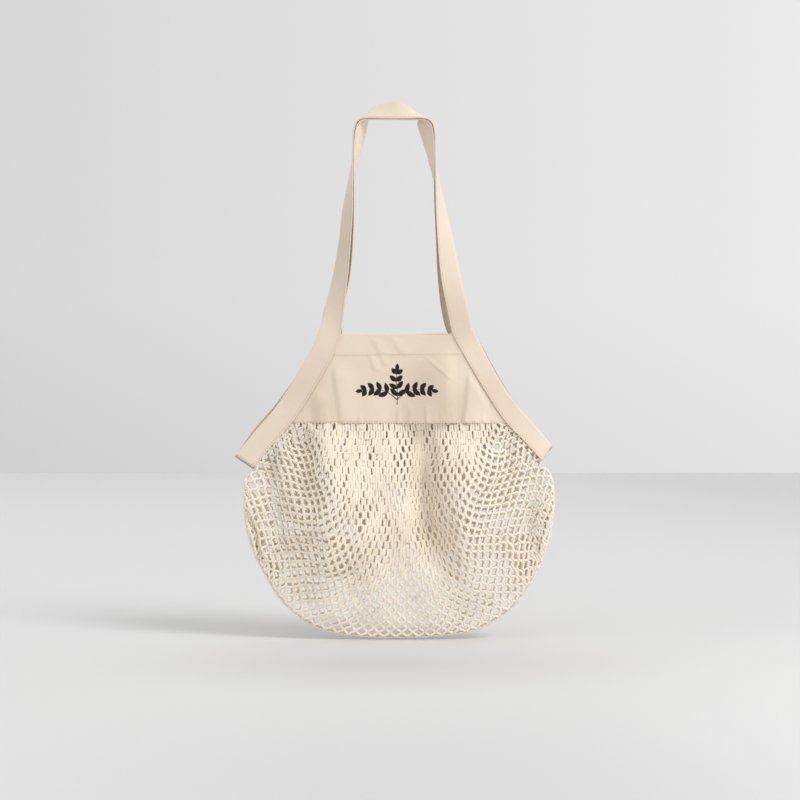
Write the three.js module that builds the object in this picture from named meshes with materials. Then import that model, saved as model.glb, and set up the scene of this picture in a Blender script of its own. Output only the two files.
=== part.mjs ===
// A string shopping bag that hangs limp from one point. A knitted cotton net is sewn under two canvas
// yokes, and two canvas tapes bind the sides of the yokes and the net, then run up as shoulder handles.
// Millimetres, +Z up, the front yoke faces -Y, and the origin is the underside of the handles where they hang.

import * as THREE from "three";
import { mergeVertices } from "three/addons/utils/BufferGeometryUtils.js";

const TAPE_WIDTH = 28;
const TAPE_THICKNESS = 1.6;
const TAPE_NEST = 2.4; // between the middles of the two tapes where the inner one rides under the outer one
const TAPE_STEP = 11; // longest facet along a tape

const CANVAS_THICKNESS = 1.6;
const YOKE_DEPTH = 14; // from the bag's middle plane to the middle of each yoke
const YOKE_HEIGHT = 111;
const YOKE_TUCK = 5; // how far a yoke's side edge reaches under its tape
const YOKE_COLUMNS = 26;
const YOKE_ROWS = 6;

const NET_WALL = 3; // the knitted net with its knots
const NET_TUCK = 4; // how far the net's rim reaches under a yoke or a tape
const NET_LEAN = 0.95; // how strongly the net leaves a tape square to its edge
const NET_COLUMNS = 38;
const NET_ROWS = 16;
const NET_BELLY = 33; // how far the net swells from the middle plane
const SEAM_WALL = 4; // how thick the net is along its closing seam
const SEAT = 0.6; // clearance between a tape and the yoke sewn to it
const NET_SEAT = 1.1; // clearance between the net and the tape or yoke it is sewn to

// ---------------------------------------------------------------------------------------- helpers

// Turns rows of bare numbers into rows with named columns.
function table(columns, rows) {
  const names = columns.split(" ");
  return rows.map((row) => Object.fromEntries(names.map((name, i) => [name, row[i]])));
}

function smooth(t) {
  const c = Math.min(Math.max(t, 0), 1);
  return c * c * (3 - 2 * c);
}

// A closed mesh of quads, welded and turned so that its faces point outwards.
function closedMesh(name, material, quads) {
  const corners = quads.flatMap(([a, b, c, d]) => [a, b, c, a, c, d]);
  let volume = 0;
  for (let i = 0; i < corners.length; i += 3)
    volume += corners[i].dot(corners[i + 1].clone().cross(corners[i + 2]));
  if (volume < 0) corners.reverse();
  const geometry = new THREE.BufferGeometry().setFromPoints(corners);
  const mesh = new THREE.Mesh(mergeVertices(geometry, 1e-4), material);
  mesh.name = name;
  return mesh;
}

// The quads between the rows and columns of a grid of points.
function gridQuads(grid, turned = false) {
  const quads = [];
  for (let r = 0; r + 1 < grid.length; r++)
    for (let k = 0; k + 1 < grid[r].length; k++) {
      const [a, b, c, d] = [grid[r][k], grid[r][k + 1], grid[r + 1][k + 1], grid[r + 1][k]];
      quads.push(turned ? [a, d, c, b] : [a, b, c, d]);
    }
  return quads;
}

// A sheet of cloth: two matching grids, one for each face, joined by a strip round the edge.
function sheetQuads(face, reverse) {
  const edge = (grid) => [
    ...grid[0].slice(0, -1),
    ...grid.slice(0, -1).map((row) => row.at(-1)),
    ...grid.at(-1).slice(1).reverse(),
    ...grid.slice(1).map((row) => row[0]).reverse(),
  ];
  const [rim, backRim] = [edge(face), edge(reverse)];
  const strip = [[...backRim, backRim[0]], [...rim, rim[0]]];
  return [...gridQuads(face), ...gridQuads(reverse, true), ...gridQuads(strip)];
}

// ------------------------------------------------------------------------------------------ tapes

// One row is one section of a tape: its inner edge (ix, iy, iz) and a point beyond it towards its outer
// edge (ox, oy, oz), from the top of the handle down one side to the tape's end.
const SECTION = "ix iy iz ox oy oz";

const HANDLE_TOP = table(SECTION, [[-2, -10.2, -9.9, 0, 5.8, 13]]);

const FRONT_TAPE_LEFT = table(SECTION, [
  [-20, -10.5, -9.8, -14, 6.5, 11.6],
  [-36, -11.5, -9.6, -27.5, 9, 7.5],
  [-46, -12.3, -11.2, -37, 11.5, 0.5],
  [-51.5, -13, -16, -43.5, 12.5, -8],
  [-54, -14, -26, -47.5, 13, -21],
  [-55, -15, -44, -52, 12.8, -42],
  [-55.3, -15.5, -69, -57.5, 12.4, -68],
  [-55.2, -16.5, -91, -62, 10.6, -91],
  [-55.2, -17.5, -121, -68, 7.5, -121],
  [-57.5, -19.5, -161, -72.5, 4, -161],
  [-61, -20, -206, -80, 0, -206],
  [-66, -18.5, -251, -90, -5, -246],
  [-70, -16.2, -279, -97, -10.5, -272],
  [-79, -15.6, -304, -104.6, -12, -292],
  [-104, -13.4, -348, -127.7, -10.5, -333],
  [-130, -10.8, -386, -152, -7, -368],
  [-156, -8, -416, -177.5, -3.5, -398],
  [-180, -5.8, -444.5, -201, -1.3, -429],
]);

const FRONT_TAPE_RIGHT = table(SECTION, [
  [16, -10.5, -9.8, 12, 6.5, 12],
  [30, -11.5, -9.6, 22.5, 11.5, 2],
  [39, -12, -11.2, 29, 12.7, -3.5],
  [44.5, -12.8, -16, 34.5, 12.8, -11.5],
  [47, -13.5, -25, 39, 13, -23],
  [47.5, -14, -44, 44, 13.7, -43.5],
  [47.8, -15, -69, 49, 13, -69],
  [48, -16, -91, 54.3, 11.3, -91],
  [48.6, -16.5, -121, 61.5, 8.4, -121],
  [50.5, -17.5, -161, 70.5, 2, -161],
  [54.5, -17, -206, 79.5, -3, -203],
  [63, -16.5, -251, 88.5, -5, -246],
  [69.5, -16, -279, 96, -6, -273],
  [82, -14.8, -302, 105, -2.5, -293],
  [112, -12, -353, 130, 3, -339],
  [135, -8.5, -387, 153.5, 5, -370],
  [159, -6.5, -412, 175.5, 8, -397],
  [181, -5, -436, 193, 10, -420],
]);

// The back tape rides under the front one over the top, and has sections of its own from where they part.
const SECTIONS_NESTED = 3;

const BACK_TAPE_LEFT = table(SECTION, [
  [-49.2, -12.2, -17.8, -36.5, 11.8, -11],
  [-51.6, -13.5, -27, -38.5, 10.7, -22],
  [-52.6, -14.5, -44, -43, 11.6, -43],
  [-52.8, -15, -69, -49, 12.7, -68],
  [-52.6, -14.5, -91, -54.5, 13.4, -91],
  [-52.6, -12.5, -121, -61.5, 14, -121],
  [-53.2, -7.5, -161, -67.5, 16.5, -161],
  [-57, -2, -206, -75, 19, -206],
  [-67, 8.5, -251, -89.5, 22.5, -246],
  [-70, 16.2, -279, -97, 17.5, -272],
  [-79, 15.6, -304, -106, 13, -292],
  [-104, 13.4, -348, -129, 10.5, -332],
  [-130, 10.8, -386, -153, 7, -367],
  [-156, 8, -416, -178.5, 3.5, -397],
  [-180, 5.8, -444.5, -201, 1.3, -429],
]);

const BACK_TAPE_RIGHT = table(SECTION, [
  [42.3, -12.2, -17.8, 25.5, 10, -14],
  [44.7, -13, -26, 28.5, 9.8, -24.5],
  [45.2, -13.5, -44, 34, 12.2, -43.5],
  [45.4, -14.5, -69, 41.3, 13.2, -69],
  [45.4, -14.2, -91, 47, 13.7, -91],
  [46.4, -12, -121, 55.5, 14.4, -121],
  [48.8, -6, -161, 65, 16.8, -161],
  [51, 1, -206, 72, 19, -203],
  [56.5, 9.5, -251, 79, 22.5, -243],
  [64, 16, -277, 90, 18, -269],
  [81, 16, -303, 106, 13, -291],
  [110, 15, -355, 132, 10.5, -338],
  [133, 13, -389, 154.5, 10.5, -370.5],
  [156, 11.5, -415, 177.5, 13, -397],
  [177, 9, -440, 196, 14.8, -419.5],
]);

// A ribbon through its sections. point(k, across) lies k sections along its middle surface and across it
// from its inner edge, and over(k, across, off) lies off that surface, towards the outside of the loop.
function ribbon(sections) {
  const inner = sections.map((s) => new THREE.Vector3(s.ix, s.iy, s.iz));
  const outer = sections.map((s, i) => {
    const reach = new THREE.Vector3(s.ox, s.oy, s.oz).sub(inner[i]);
    return inner[i].clone().add(reach.setLength(TAPE_WIDTH));
  });
  const innerCurve = new THREE.CatmullRomCurve3(inner, false, "centripetal");
  const outerCurve = new THREE.CatmullRomCurve3(outer, false, "centripetal");
  const last = sections.length - 1;
  function point(k, across) {
    const near = innerCurve.getPoint(k / last);
    const reach = outerCurve.getPoint(k / last).sub(near);
    return near.addScaledVector(reach, across / TAPE_WIDTH);
  }
  function outward(k, across) {
    const along = point(Math.min(k + 0.05, last), across).sub(point(Math.max(k - 0.05, 0), across));
    return along.cross(point(k, TAPE_WIDTH).sub(point(k, 0))).normalize();
  }
  function over(k, across, off) {
    return point(k, across).addScaledVector(outward(k, across), off);
  }
  return { point, outward, over, last };
}

function joinSides(left, right) {
  return ribbon([...left.slice().reverse(), ...HANDLE_TOP, ...right]);
}

const frontTape = joinSides(FRONT_TAPE_LEFT, FRONT_TAPE_RIGHT);
const TOP_SECTION = FRONT_TAPE_LEFT.length;

// The section of the back tape that lies straight under section k of the front one.
function nestedSection(k) {
  const near = frontTape.over(k, 0, -TAPE_NEST);
  const far = frontTape.over(k, TAPE_WIDTH, -TAPE_NEST);
  return { ix: near.x, iy: near.y, iz: near.z, ox: far.x, oy: far.y, oz: far.z };
}

const nested = Array.from({ length: 2 * SECTIONS_NESTED + 1 }, (_, i) =>
  nestedSection(TOP_SECTION - SECTIONS_NESTED + i),
);
const backTape = ribbon([...BACK_TAPE_LEFT.slice().reverse(), ...nested, ...BACK_TAPE_RIGHT]);

// Both tapes have their facets at the same sections, so that they stay parallel where they ride together.
function tapeStations() {
  const stations = [];
  for (let k = 0; k < frontTape.last; k++) {
    const middle = TAPE_WIDTH / 2;
    const length = frontTape.point(k, middle).distanceTo(frontTape.point(k + 1, middle));
    const steps = Math.max(2, Math.ceil(length / TAPE_STEP));
    for (let i = 0; i < steps; i++) stations.push(k + i / steps);
  }
  return [...stations, frontTape.last];
}

function tapeMesh(name, material, tape) {
  const stations = tapeStations();
  const side = (off) =>
    stations.map((k) => [0, TAPE_WIDTH / 2, TAPE_WIDTH].map((across) => tape.over(k, across, off)));
  return closedMesh(name, material, sheetQuads(side(TAPE_THICKNESS / 2), side(-TAPE_THICKNESS / 2)));
}

// ------------------------------------------------------------------------------------------ yokes

// Where the yoke begins and ends along its tapes, counted in sections up from the top of the handle.
const YOKE_TOP_SECTION = 13;
const YOKE_FOOT_SECTION = 16.12;

// Soft upright gathers: where across the yoke they stand, how wide they are and how far they swell.
const GATHERS = table("across width swell", [
  [0.06, 0.05, -1.2],
  [0.27, 0.07, 0.9],
  [0.5, 0.09, -0.8],
  [0.78, 0.06, 1.1],
  [0.9, 0.05, -0.9],
]);

// The middle surface of a yoke: from one tape's inner edge (across 0) to the other's (across 1), and
// from its top (down 0) to its foot (down 1). face is -1 for the front yoke and 1 for the back one.
function yokePoint(tape, face, across, down) {
  const drop = YOKE_TOP_SECTION + (YOKE_FOOT_SECTION - YOKE_TOP_SECTION) * down;
  const behind = -(TAPE_THICKNESS + CANVAS_THICKNESS) / 2 - SEAT;
  const middleSection = tape.last / 2;
  const tuck = Math.max(-across, across - 1, 0) * TAPE_WIDTH;
  const side = across < 0.5 ? -1 : 1;
  const edge = (s) => tape.over(middleSection + s * drop, 0, behind * outwardSign(tape, face, s, drop));
  if (tuck > 0)
    return tape.over(middleSection + side * drop, tuck, behind * outwardSign(tape, face, side, drop));
  const point = edge(-1).lerp(edge(1), across);
  const bow = 1 - (2 * across - 1) ** 2;
  point.y += (face * YOKE_DEPTH - point.y) * bow;
  for (const g of GATHERS)
    point.y += face * g.swell * Math.exp(-(((across - g.across) / g.width) ** 2)) * smooth(bow * 4);
  return point;
}

// 1 where the ribbon's outward side is the side that faces out of the bag, otherwise -1.
function outwardSign(tape, face, side, drop) {
  return Math.sign(tape.outward(tape.last / 2 + side * drop, 0).y * face);
}

function yokeMesh(name, material, tape, face) {
  const tuck = YOKE_TUCK / TAPE_WIDTH;
  const across = [-tuck];
  for (let c = 0; c <= YOKE_COLUMNS; c++) across.push(c / YOKE_COLUMNS);
  across.push(1 + tuck);
  const grid = (off) =>
    Array.from({ length: YOKE_ROWS + 1 }, (_, r) =>
      across.map((a) => yokePoint(tape, face, a, r / YOKE_ROWS).add(new THREE.Vector3(0, off, 0))),
    );
  return closedMesh(name, material, sheetQuads(grid(-CANVAS_THICKNESS / 2), grid(CANVAS_THICKNESS / 2)));
}

// -------------------------------------------------------------------------------------------- net

// The closing seam runs round the pouch from under the left end of the tapes to under the right one.
const SEAM = table("x y z", [
  [-182, 0, -449],
  [-192, 0, -463],
  [-193, 0, -492],
  [-186, 0, -535],
  [-170, 0, -573],
  [-142, 0, -615],
  [-101, 0, -645],
  [-50, 0, -656],
  [4, 0, -658],
  [54, 1, -656],
  [99, 2, -648],
  [139, 3, -624],
  [160, 3, -600],
  [178, 3, -566],
  [191, 3, -526],
  [196, 3, -486],
  [192, 2, -455],
  [183, 1, -443],
]).map((p) => new THREE.Vector3(p.x, p.y, p.z));

// Folds of the slack net: where each starts and ends, how wide it is and how far it stands in (+) or
// out (-). face is -1 for one in the front of the net and 1 for one in the back.
const FOLDS = table("face x0 z0 x1 z1 width depth", [
  [-1, -150, -415, -138, -520, 11, 9],
  [-1, -112, -400, -122, -560, 16, 6],
  [-1, -84, -400, -92, -610, 15, -6],
  [-1, -30, -420, -40, -600, 22, 4],
  [-1, 36, -392, 58, -570, 13, 9],
  [-1, 78, -400, 84, -560, 13, -6],
  [-1, 132, -395, 120, -520, 10, 8],
  [-1, 165, -430, 172, -540, 11, 6],
  [1, -120, -400, -130, -560, 16, 7],
  [1, -60, -400, -70, -600, 18, -5],
  [1, 10, -400, 0, -590, 16, 8],
  [1, 70, -400, 90, -600, 18, -5],
  [1, 128, -400, 140, -540, 14, 7],
]);

// The direction from the inner to the outer edge of the tapes where the net hangs from them.
const TAPE_SLOPE = { x: 0.76, z: 0.65 };

const seamCurve = new THREE.CatmullRomCurve3(SEAM, false, "centripetal");

function foldDepth(face, x, z) {
  let depth = 0;
  for (const f of FOLDS) {
    if (f.face !== face) continue;
    const down = (f.z0 - z) / (f.z0 - f.z1);
    const middle = f.x0 + (f.x1 - f.x0) * down;
    const fade = smooth(down / 0.25) * smooth((1 - down) / 0.35);
    depth += f.depth * fade * Math.exp(-(((x - middle) / f.width) ** 2));
  }
  return depth;
}

// The part of the net's rim that lies under each tape; the rest is under the yoke.
const TAPE_SHARE = 0.17;

// The stretches of the rim under a tape, as shares of it, where the net steps in behind the yoke's corner,
// and where its edge turns from square to the tape to upright.
const STEP_IN = 0.25;
const TURN_UP = 0.2;

// How the net's section changes, as shares of the way along its rim, and down from the rim to the seam.
const SIDE_ROUND = 0.04; // along, where the two faces close round each side
const SIDE_SWELL = 0.28; // along, where the belly reaches its full depth from each side
const BELLY_RISE = 0.5; // down, where the belly reaches its full depth
const BOTTOM_ROUND = 0.45; // up from the seam, where the two faces round off towards it
const INNER_SPAN = 0.95; // of the rim's length, the part that the inner wall spans

// The net's rim along one face, from the left end of the tape (0) over the yoke's foot to the right end (1).
function rimPoint(tape, face, along) {
  const side = along < 0.5 ? -1 : 1;
  const fromEnd = Math.min(along, 1 - along) / TAPE_SHARE;
  const lastSection = tape.last / 2;
  if (fromEnd >= 1) {
    const across = (along - TAPE_SHARE) / (1 - 2 * TAPE_SHARE);
    const rise = NET_TUCK / YOKE_HEIGHT;
    const point = yokePoint(tape, face, across, 1 - rise);
    point.y -= face * (CANVAS_THICKNESS / 2 + NET_SEAT);
    return point;
  }
  const drop = lastSection + (YOKE_FOOT_SECTION - lastSection) * fromEnd;
  const underYoke = smooth((fromEnd - 1 + STEP_IN) / STEP_IN) * (CANVAS_THICKNESS + SEAT);
  const behind = -(TAPE_THICKNESS / 2 + NET_SEAT + underYoke) * outwardSign(tape, face, side, drop);
  const turned = smooth((1 - fromEnd) / TURN_UP);
  const point = tape.over(lastSection + side * drop, NET_TUCK * turned, behind);
  point.z += NET_TUCK * (1 - turned);
  return point;
}

// A point of the net: along its rim, and down from the rim (0) to the seam (1).
function netPoint(face, along, down, inner) {
  const inset = inner ? 0.5 + (along - 0.5) * INNER_SPAN : along;
  const front = rimPoint(frontTape, -1, inset);
  const back = rimPoint(backTape, 1, inset);
  const roundSide = Math.sqrt(Math.min(1, Math.min(along, 1 - along) / SIDE_ROUND));
  const rim = front.clone().lerp(back, 0.5).lerp(face < 0 ? front : back, roundSide);
  const seam = seamCurve.getPointAt(inset);
  if (inner) {
    const tangent = seamCurve.getTangentAt(inset);
    seam.x -= SEAM_WALL * tangent.z;
    seam.z += SEAM_WALL * tangent.x;
  }
  const length = rim.distanceTo(seam);
  const start = Math.min((NET_TUCK * 2) / length, BELLY_RISE);
  const rise = smooth((down - start) / BELLY_RISE);
  const rimHalf = (back.y - front.y) / 2;
  const swell = (NET_BELLY - rimHalf) * smooth(Math.min(inset, 1 - inset) / SIDE_SWELL);
  const half = rimHalf + swell * rise - (inner ? NET_WALL : 0);
  const intoBottom = Math.max(0, 1 - (1 - down) / BOTTOM_ROUND);
  const roundBottom = Math.sqrt(1 - intoBottom ** 2);
  const middle = ((front.y + back.y) / 2) * (1 - down) + seam.y * down;
  const point = rim.lerp(seam, down);
  const side = inset < 0.5 ? -1 : 1;
  const underTape = smooth(2 * (1 - Math.min(inset, 1 - inset) / TAPE_SHARE));
  const lean = NET_LEAN * length * underTape * down * (1 - down) ** 2;
  point.x -= side * lean * TAPE_SLOPE.x;
  point.z -= lean * TAPE_SLOPE.z;
  const closing = roundBottom * roundSide;
  point.y = middle + face * (half - foldDepth(face, point.x, point.z)) * closing;
  return point;
}

function netMesh(name, material) {
  const grid = (face, inner) =>
    Array.from({ length: NET_ROWS + 1 }, (_, r) =>
      Array.from({ length: NET_COLUMNS + 1 }, (_, c) =>
        netPoint(face, c / NET_COLUMNS, r / NET_ROWS, inner),
      ),
    );
  const outer = { front: grid(-1, false), back: grid(1, false) };
  const inner = { front: grid(-1, true), back: grid(1, true) };
  return closedMesh(name, material, [
    ...gridQuads(outer.front),
    ...gridQuads(outer.back, true),
    ...gridQuads(inner.front, true),
    ...gridQuads(inner.back),
    ...gridQuads([inner.front[0], outer.front[0]]),
    ...gridQuads([outer.back[0], inner.back[0]]),
  ]);
}

// -------------------------------------------------------------------------------------------- bag

const canvas = new THREE.MeshStandardMaterial({ color: 0xe8dac2, roughness: 0.9, metalness: 0 });
const webbing = new THREE.MeshStandardMaterial({ color: 0xe4d4ba, roughness: 0.9, metalness: 0 });
const cotton = new THREE.MeshStandardMaterial({ color: 0xeadcc4, roughness: 0.95, metalness: 0 });

const bag = new THREE.Group();
bag.add(
  tapeMesh("strap_front", webbing, frontTape),
  tapeMesh("strap_back", webbing, backTape),
  yokeMesh("yoke_front", canvas, frontTape, -1),
  yokeMesh("yoke_back", canvas, backTape, 1),
  netMesh("net", cotton),
);

export default bag;
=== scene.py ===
"""A cotton net shopping bag that hangs limp from its handles.

Two canvas tapes bind the sides of two canvas yokes and of a knitted net, and run up as handles.
Lengths are in millimetres while a piece is shaped, and its mesh is made in metres.
"""

import math

import bpy
import numpy as np
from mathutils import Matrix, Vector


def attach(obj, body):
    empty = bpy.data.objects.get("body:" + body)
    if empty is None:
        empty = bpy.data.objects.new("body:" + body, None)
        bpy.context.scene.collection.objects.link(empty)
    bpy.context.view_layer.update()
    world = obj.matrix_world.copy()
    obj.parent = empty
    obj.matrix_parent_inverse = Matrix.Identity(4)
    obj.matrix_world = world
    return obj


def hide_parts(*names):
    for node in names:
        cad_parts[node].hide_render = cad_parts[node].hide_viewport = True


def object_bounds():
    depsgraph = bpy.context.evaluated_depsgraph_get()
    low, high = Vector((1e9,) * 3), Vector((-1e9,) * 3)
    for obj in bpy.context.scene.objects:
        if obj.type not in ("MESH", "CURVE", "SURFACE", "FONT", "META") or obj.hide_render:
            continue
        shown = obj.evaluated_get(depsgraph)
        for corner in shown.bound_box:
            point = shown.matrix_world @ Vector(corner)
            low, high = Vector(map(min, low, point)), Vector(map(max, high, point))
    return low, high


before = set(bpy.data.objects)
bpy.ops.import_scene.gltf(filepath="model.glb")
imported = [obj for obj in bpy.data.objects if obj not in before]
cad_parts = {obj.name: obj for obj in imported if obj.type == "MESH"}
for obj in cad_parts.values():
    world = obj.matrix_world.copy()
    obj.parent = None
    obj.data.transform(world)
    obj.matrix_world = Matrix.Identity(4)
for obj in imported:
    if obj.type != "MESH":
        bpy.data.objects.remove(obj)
cad_low, cad_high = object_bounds()
bpy.ops.object.select_all(action="DESELECT")

# ------------------------------------------------------------------------------------------ camera
# A level camera in front of the bag, 2.4 m away, that sees a metre of width at the bag. It looks at the
# middle of the bag's height.

CAMERA_DISTANCE = 2.4
VIEW_WIDTH = 1.0
VIEW_MIDDLE_X = 0.00375
VIEW_MIDDLE_Z = -0.3606
SENSOR = 36

bpy.ops.object.camera_add(
    location=(VIEW_MIDDLE_X, -CAMERA_DISTANCE, VIEW_MIDDLE_Z), rotation=(math.pi / 2, 0, 0)
)
camera = bpy.context.object
camera.name = "camera"
camera.data.sensor_width = SENSOR
camera.data.lens = SENSOR * CAMERA_DISTANCE / VIEW_WIDTH
bpy.context.scene.camera = camera
bpy.context.scene.view_settings.view_transform = "Standard"

# ------------------------------------------------------------------------------------------ studio
# A pale matt floor and a pale wall far behind it. One soft sun stands to the right, in front and above,
# and the sky is an even white.

FLOOR_Z = cad_low.z - 0.002
WALL_Y = 5.5
STUDIO_WIDTH = 16
WALL_HEIGHT = 6
SKY_STRENGTH = 0.89
SUN_STRENGTH = 1.3
SUN_SPREAD = 24
SUN_TILT = 50
SUN_TURN = 52

# A grey's level, then how it drifts along two Object axes: axis, from, to, and the change at each.
FLOOR_GREY = (0.69, [("X", -0.6, 0.6, -0.01, 0.0), ("Y", 0, 5, 0.0, -0.02)])
WALL_GREY = (0.70, [("X", -1.7, 1.7, -0.073, 0.073), ("Z", FLOOR_Z, 0.05, 0.0, 0.054)])
WALL_MATT = (0.6, 0.6, 0.6, 1)

# Painted shadow and painted light on the floor, as soft pools: painted shadow in front of the bag and nearer
# still, a painted pool of light at the near right, and painted shade far behind.
# Rows are middle x, middle y, reach in x, reach in y, change.
PAINTED_FLOOR_POOLS = [
    (-0.02, -0.24, 0.36, 0.26, -0.085),
    (0.0, -0.95, 0.4, 0.6, -0.045),
    (0.7, -0.7, 0.6, 1.1, 0.13),
    (1.4, 3.4, 1.6, 3.4, -0.05),
]


def add_node(tree, kind, inputs=None, **settings):
    """A shader node with its settings. Each input is linked to another node's output or set to a value."""
    node = tree.nodes.new("ShaderNode" + kind)
    for setting, value in settings.items():
        setattr(node, setting, value)
    for socket, value in (inputs or {}).items():
        if isinstance(value, bpy.types.NodeSocket):
            tree.links.new(value, node.inputs[socket])
        else:
            node.inputs[socket].default_value = value
    return node


def math_node(tree, operation, *values):
    """The result of a Math node, from numbers or other nodes' outputs."""
    return add_node(tree, "Math", dict(enumerate(values)), operation=operation).outputs[0]


def drifting_grey(tree, level, drifts):
    """A grey whose level changes a little along some Object axes."""
    split = add_node(tree, "SeparateXYZ", {0: add_node(tree, "TexCoord").outputs["Object"]})
    grey = level
    for axis, low, high, at_low, at_high in drifts:
        ends = {"From Min": low, "From Max": high, "To Min": at_low, "To Max": at_high}
        drift = add_node(tree, "MapRange", {"Value": split.outputs[axis], **ends})
        grey = math_node(tree, "ADD", grey, drift.outputs[0])
    return grey


def glowing_stage(tree, grey):
    """A surface that a camera or a mirror sees at its own level, and that other light meets as matt grey."""
    glow = add_node(tree, "Emission", {"Color": grey})
    matt = add_node(tree, "BsdfDiffuse", {"Color": WALL_MATT})
    path = add_node(tree, "LightPath").outputs
    seen = math_node(tree, "MAXIMUM", path["Is Camera Ray"], path["Is Glossy Ray"])
    seen = math_node(tree, "MAXIMUM", seen, path["Is Transmission Ray"])
    return add_node(tree, "MixShader", {0: seen, 1: matt.outputs[0], 2: glow.outputs[0]})


def matt_stage(tree, grey):
    """A matt surface with the floor's painted shadow and painted light, as soft pools of another level."""
    place = add_node(tree, "TexCoord").outputs["Object"]
    # Each pool is painted shadow where its change is below zero, and painted light where it is above.
    for x, y, reach_x, reach_y, change in PAINTED_FLOOR_POOLS:
        moved = {"Location": (-x / reach_x, -y / reach_y, 0), "Scale": (1 / reach_x, 1 / reach_y, 0)}
        spot = add_node(tree, "Mapping", {"Vector": place, **moved})
        away = add_node(tree, "VectorMath", {0: spot.outputs[0]}, operation="LENGTH").outputs["Value"]
        ends = {"Value": away, "To Min": change, "To Max": 0}
        fade = add_node(tree, "MapRange", ends, interpolation_type="SMOOTHSTEP")
        grey = math_node(tree, "ADD", grey, fade.outputs[0])
    return add_node(tree, "BsdfDiffuse", {"Color": grey})


def stage_plane(name, tilt, width, length, middle, grey, surface):
    """A flat sheet of the studio, at its size and place, with its own material."""
    bpy.ops.mesh.primitive_plane_add(size=1, rotation=(tilt, 0, 0))
    plane = bpy.context.object
    plane.name = name
    plane.scale = (width, length, 1)
    plane.location = middle
    bpy.ops.object.transform_apply(location=True, rotation=True, scale=True)
    material = bpy.data.materials.new("studio_" + name)
    material.use_nodes = True
    tree = material.node_tree
    tree.nodes.clear()
    add_node(tree, "OutputMaterial", {"Surface": surface(tree, drifting_grey(tree, *grey)).outputs[0]})
    plane.data.materials.append(material)


wall_middle = (0, WALL_Y, FLOOR_Z + WALL_HEIGHT / 2)
stage_plane("floor", 0, STUDIO_WIDTH, 2 * WALL_Y, (0, 0, FLOOR_Z), FLOOR_GREY, matt_stage)
stage_plane("wall", math.pi / 2, STUDIO_WIDTH, WALL_HEIGHT, wall_middle, WALL_GREY, glowing_stage)

world = bpy.data.worlds.new("sky")
bpy.context.scene.world = world
world.use_nodes = True
world.node_tree.nodes["Background"].inputs["Color"].default_value = (1, 1, 1, 1)
world.node_tree.nodes["Background"].inputs["Strength"].default_value = SKY_STRENGTH

bpy.ops.object.light_add(type="SUN", location=(2, -2, 2))
key = bpy.context.object
key.name = "key"
key.data.energy = SUN_STRENGTH
key.data.angle = math.radians(SUN_SPREAD)
key.rotation_euler = (math.radians(SUN_TILT), 0, math.radians(SUN_TURN))

# ------------------------------------------------------------------------------------------- tapes
# Two tapes of folded canvas, 28 mm wide and sewn along their inner edge. Each binds one side of a yoke and
# of the net, runs up as a handle, passes over the top and comes down the other side.

MM = 0.001
TAPE_WIDTH = 28.0
TAPE_THICKNESS = 1.5
TAPE_NEST = 2.4
TAPE_STEP = 3.0
TAPE_EDGE_SEAM = 2.3
SEAM_GROOVE = 0.25
SEAM_GROOVE_REACH = 0.55
TAPE_CROWN = 0.16
PUCKER = 0.10
PUCKER_PITCH = 6.5
PUCKER_REACH = 2.5

# The two colours that the tapes' canvas varies between.
TAPE_PALE = (0.82, 0.702, 0.574)
TAPE_DULL = (0.76, 0.637, 0.514)

# A section's points: places across the tape, each with how much its corner is rounded off, then the folded
# edge and the turned-in lips of the sewn edge as places across and heights off the middle.
TAPE_PLACES = np.array([0, 0.25, 0.9, 1.6, TAPE_EDGE_SEAM, 3, 3.9, 6, 9, 12, 15, 18, 21, 24, 25.8, 27, 27.6])
TAPE_ROUNDING = np.array([0.22] + [0] * 15 + [0.2])
TAPE_FOLD = [(27.92, 0.3), (TAPE_WIDTH, 0), (27.92, -0.3)]
TAPE_LIPS = [(-0.02, -0.28), (0.6, -0.02), (0.6, 0.02), (-0.02, 0.28)]

# Painted shade and painted light along the tapes' run: a place counted in sections from the top's middle,
# then how much darker (below 1) or lighter (above 1) the colour is painted there. The first table is for the
# outward side of the front tape, the next for that of the back one, and the last for the inward side of both.
# On the right the outer edge carries a painted highlight, from a given section on; its amount, width across,
# first section and rise follow the tables.
FRONT_TAPE_PAINTED_SHADING = [
    (-18, 1.03),
    (-16, 1),
    (-15, 0.94),
    (-13, 0.97),
    (-12, 0.94),
    (-10, 0.85),
    (-8, 0.97),
    (-6, 1),
    (-3, 0.95),
    (0, 0.88),
    (3, 1.08),
    (8, 1.04),
    (10.8, 0.97),
    (12.2, 0.85),
    (13.8, 0.92),
    (15, 0.88),
    (18, 0.94),
]
# The back tape's outward side is painted much darker low down on both sides, as painted shade where it shows
# in the gap behind the front tape's edges.
BACK_TAPE_PAINTED_SHADING = [(-15, 0.8), (-14, 0.5), (-9, 0.66), (-6, 1), (6, 1), (9, 0.72), (15, 0.66)]
# On the inward side, painted light lightens the left handle's inner face near the top and painted shade
# darkens the right one.
INSIDE_PAINTED_SHADING = [(-9, 1), (-6, 1.04), (-3, 1.06), (1, 1), (3, 0.93), (8, 0.93), (10, 1)]
# The painted highlight along the outer edge of the tapes' lower right: how much lighter, its width across,
# and the section it starts from and rises over.
PAINTED_EDGE_HIGHLIGHT = 0.10
PAINTED_HIGHLIGHT_WIDTH = 3
PAINTED_HIGHLIGHT_FROM = 8
PAINTED_HIGHLIGHT_RISE = 3

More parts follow.
